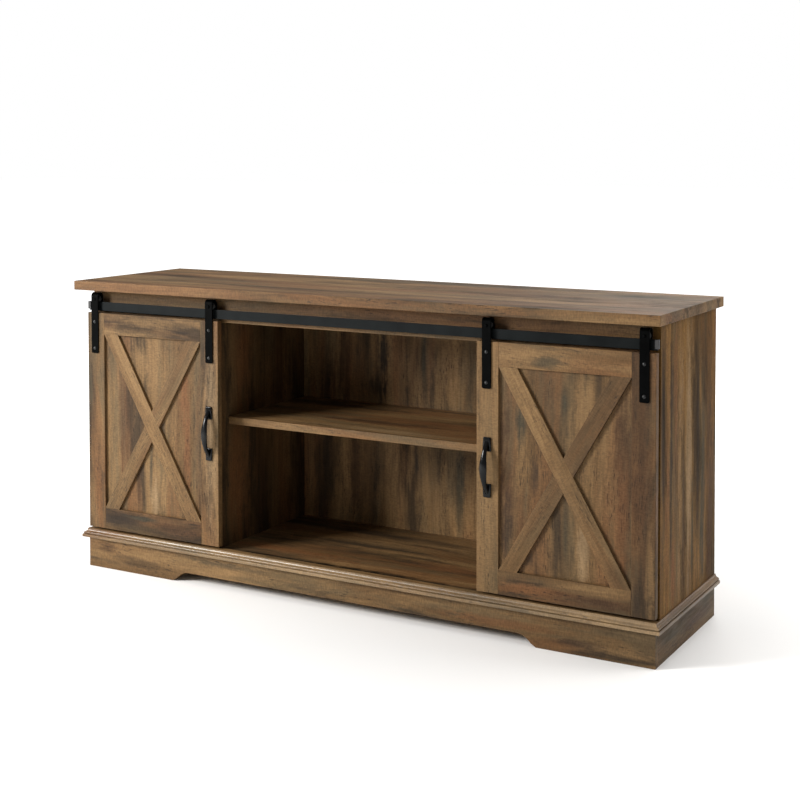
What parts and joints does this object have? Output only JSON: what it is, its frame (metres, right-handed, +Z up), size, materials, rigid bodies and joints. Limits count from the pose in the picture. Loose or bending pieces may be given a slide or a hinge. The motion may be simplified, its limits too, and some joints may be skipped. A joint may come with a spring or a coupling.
{
  "type": "tv stand with sliding doors",
  "caption": "Low wooden media cabinet on a moulded plinth, with two cross-braced barn doors that hang from a black rail and slide over an open centre bay with a shelf.",
  "frame": {"origin": "middle of the footprint, on the floor", "axes": "+X to the right along the width, +Y to the back, +Z up; the front faces -Y"},
  "size_m": [1.473, 0.4, 0.694],
  "materials": {
    "oak_level": "rustic oak, grain along X, matt",
    "oak_depth": "rustic oak, grain along Y, matt",
    "oak_upright": "rustic oak, grain along Z, matt",
    "oak_brace": "rustic oak, grain along the brace, matt",
    "oak_moulding": "rustic oak moulding, grain along its length, matt",
    "pine": "bare softwood",
    "black_steel": "black powder coat, satin",
    "black_handle": "black enamel, satin",
    "bare_steel": "zinc plated",
    "black_nylon": "black nylon",
    "glide_pad": "dark glide"
  },
  "bodies": {
    "cabinet": {"top_panel": "oak_level", "left_side_panel": "oak_upright", "right_side_panel": "oak_upright", "left_partition": "oak_upright", "right_partition": "oak_upright", "bottom_panel": "oak_level", "back_panel": "oak_upright", "front_fascia": "oak_level", "centre_shelf": "oak_level", "left_shelf": "oak_level", "right_shelf": "oak_level", "shelf_pins": "bare_steel", "front_skirt": "oak_level", "left_skirt": "oak_depth", "right_skirt": "oak_depth", "rear_skirt": "oak_level", "front_moulding": "oak_moulding", "left_moulding": "oak_moulding", "right_moulding": "oak_moulding", "front_cleat": "pine", "base_blocks": "pine", "floor_glides": "glide_pad", "guide_channel": "black_steel", "track_rail": "black_steel", "rail_standoffs": "black_steel", "rail_screws": "bare_steel", "rail_end_caps": "black_nylon", "panel_dowels": "pine"},
    "left_door": {"left_door_outer_stile": "oak_upright", "left_door_inner_stile": "oak_upright", "left_door_top_rail": "oak_level", "left_door_bottom_rail": "oak_level", "left_door_panel": "oak_upright", "left_door_long_brace": "oak_brace", "left_door_short_braces": "oak_brace", "left_door_hangers": "black_steel", "left_door_strap_bolts": "black_steel", "left_door_axle_pins": "black_steel", "left_door_axle_nuts": "bare_steel", "left_door_handle": "black_handle", "left_door_handle_screws": "bare_steel", "left_door_floor_guides": "black_nylon"},
    "left_outer_roller": {"left_door_outer_roller": "black_nylon"},
    "left_inner_roller": {"left_door_inner_roller": "black_nylon"},
    "right_door": {"right_door_outer_stile": "oak_upright", "right_door_inner_stile": "oak_upright", "right_door_top_rail": "oak_level", "right_door_bottom_rail": "oak_level", "right_door_panel": "oak_upright", "right_door_long_brace": "oak_brace", "right_door_short_braces": "oak_brace", "right_door_hangers": "black_steel", "right_door_strap_bolts": "black_steel", "right_door_axle_pins": "black_steel", "right_door_axle_nuts": "bare_steel", "right_door_handle": "black_handle", "right_door_handle_screws": "bare_steel", "right_door_floor_guides": "black_nylon"},
    "right_outer_roller": {"right_door_outer_roller": "black_nylon"},
    "right_inner_roller": {"right_door_inner_roller": "black_nylon"}
  },
  "joints": [
    {"name": "left_door_slide", "type": "slide", "parent": "cabinet", "child": "left_door", "axis": [1, 0, 0], "range_m": [-0.008, 0.3255]},
    {"name": "right_door_slide", "type": "slide", "parent": "cabinet", "child": "right_door", "axis": [-1, 0, 0], "range_m": [-0.008, 0.3255]},
    {"name": "left_outer_roller_turn", "type": "hinge", "parent": "left_door", "child": "left_outer_roller", "pos_m": [-0.6955, -0.1635, 0.649], "axis": [0, 1, 0], "range_deg": [-80, 2980]},
    {"name": "left_inner_roller_turn", "type": "hinge", "parent": "left_door", "child": "left_inner_roller", "pos_m": [-0.3545, -0.1635, 0.649], "axis": [0, 1, 0], "range_deg": [-80, 2980]},
    {"name": "right_outer_roller_turn", "type": "hinge", "parent": "right_door", "child": "right_outer_roller", "pos_m": [0.6955, -0.1635, 0.649], "axis": [0, 1, 0], "range_deg": [-2980, 80]},
    {"name": "right_inner_roller_turn", "type": "hinge", "parent": "right_door", "child": "right_inner_roller", "pos_m": [0.3545, -0.1635, 0.649], "axis": [0, 1, 0], "range_deg": [-2980, 80]}
  ],
  "couplings": [
    {"joint": "left_outer_roller_turn", "follows": "left_door_slide", "rad_per_m": 158.73},
    {"joint": "left_inner_roller_turn", "follows": "left_door_slide", "rad_per_m": 158.73},
    {"joint": "right_outer_roller_turn", "follows": "right_door_slide", "rad_per_m": -158.73},
    {"joint": "right_inner_roller_turn", "follows": "right_door_slide", "rad_per_m": -158.73}
  ]
}
